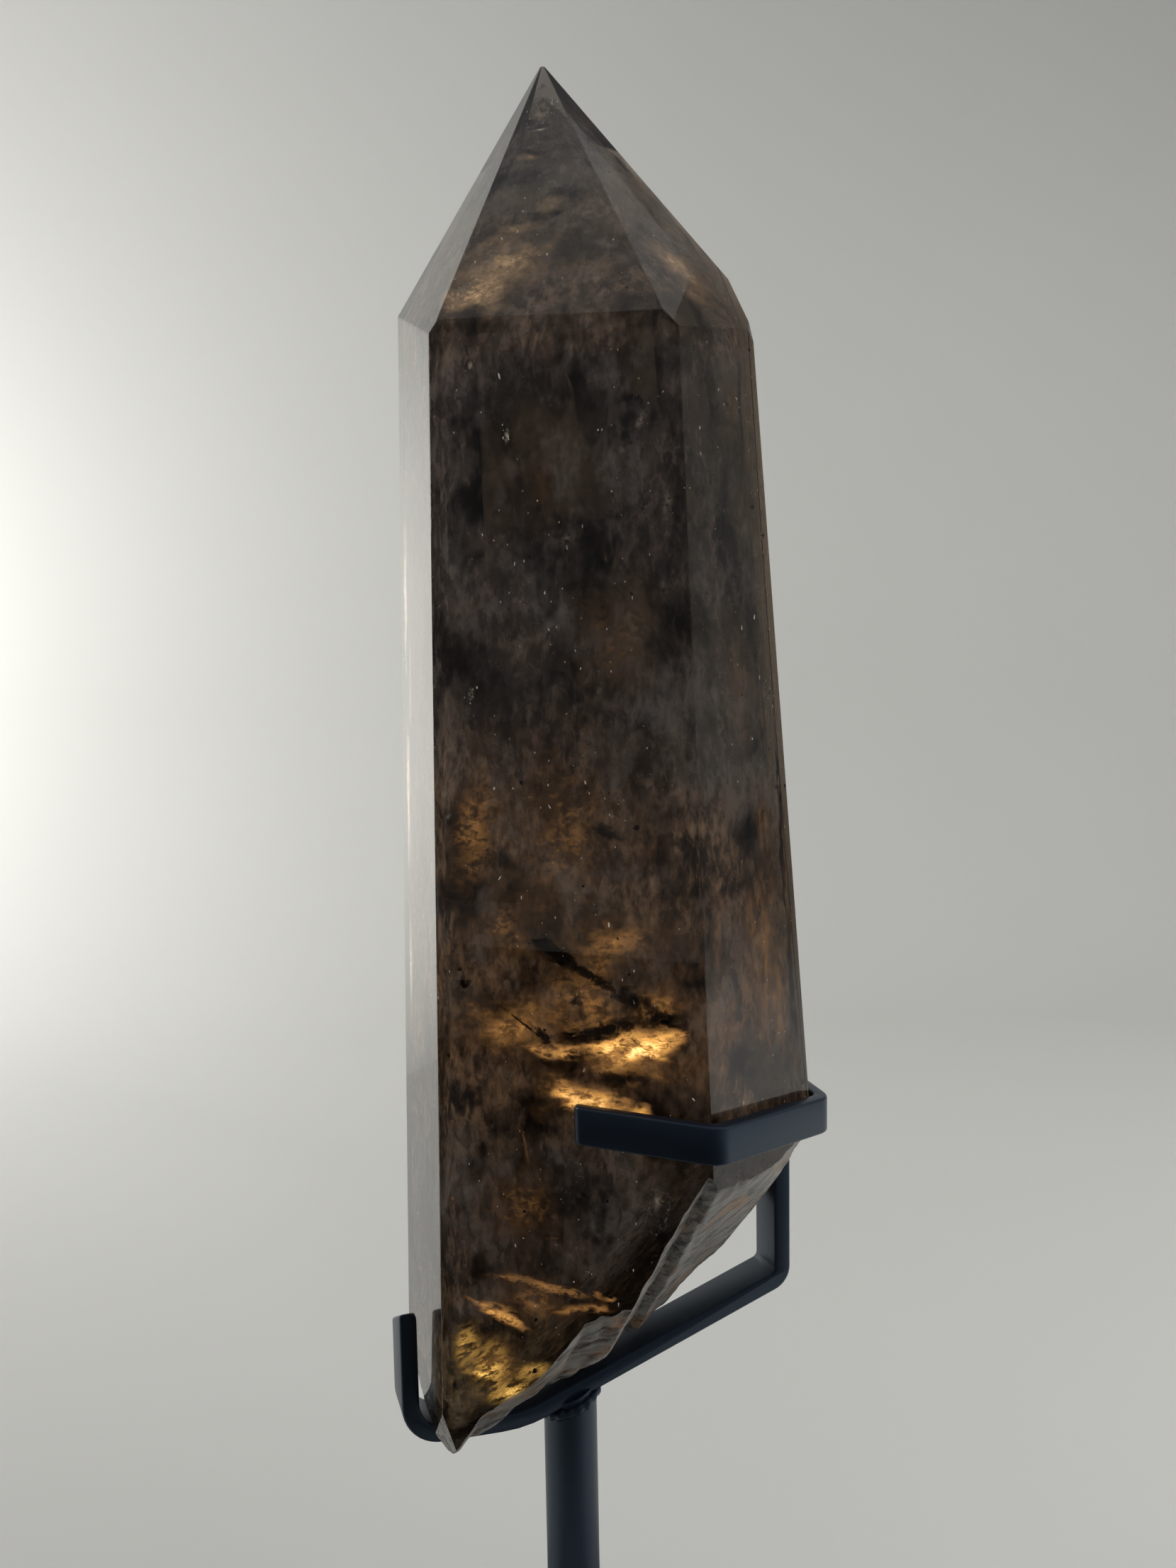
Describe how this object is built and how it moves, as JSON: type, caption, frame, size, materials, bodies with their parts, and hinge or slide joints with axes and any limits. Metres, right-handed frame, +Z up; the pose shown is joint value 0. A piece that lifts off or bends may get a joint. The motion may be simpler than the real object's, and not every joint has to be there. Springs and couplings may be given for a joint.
{
  "type": "smoky quartz tower on a stand",
  "caption": "Tall six-sided smoky quartz point with polished faces and a rough slanting base, resting in a black flat-bar sling stand on a round post and a square plate.",
  "frame": {"origin": "middle of the base plate's underside, on the post's axis", "axes": "+Z up along the post towards the crystal's point, +X to the viewer's right in the front view, +Y away from the viewer"},
  "size_m": [0.102, 0.102, 0.319],
  "materials": {
    "smoky_quartz": "clear brown smoky quartz with inner veils, faces polished, base a rough frosted break",
    "black_steel": "satin black powder coat on flat and round steel bar"
  },
  "bodies": {
    "root": {"crystal": "smoky_quartz", "cradle_bar": "black_steel", "clasp_band": "black_steel", "post": "black_steel", "base_plate": "black_steel"}
  },
  "joints": []
}
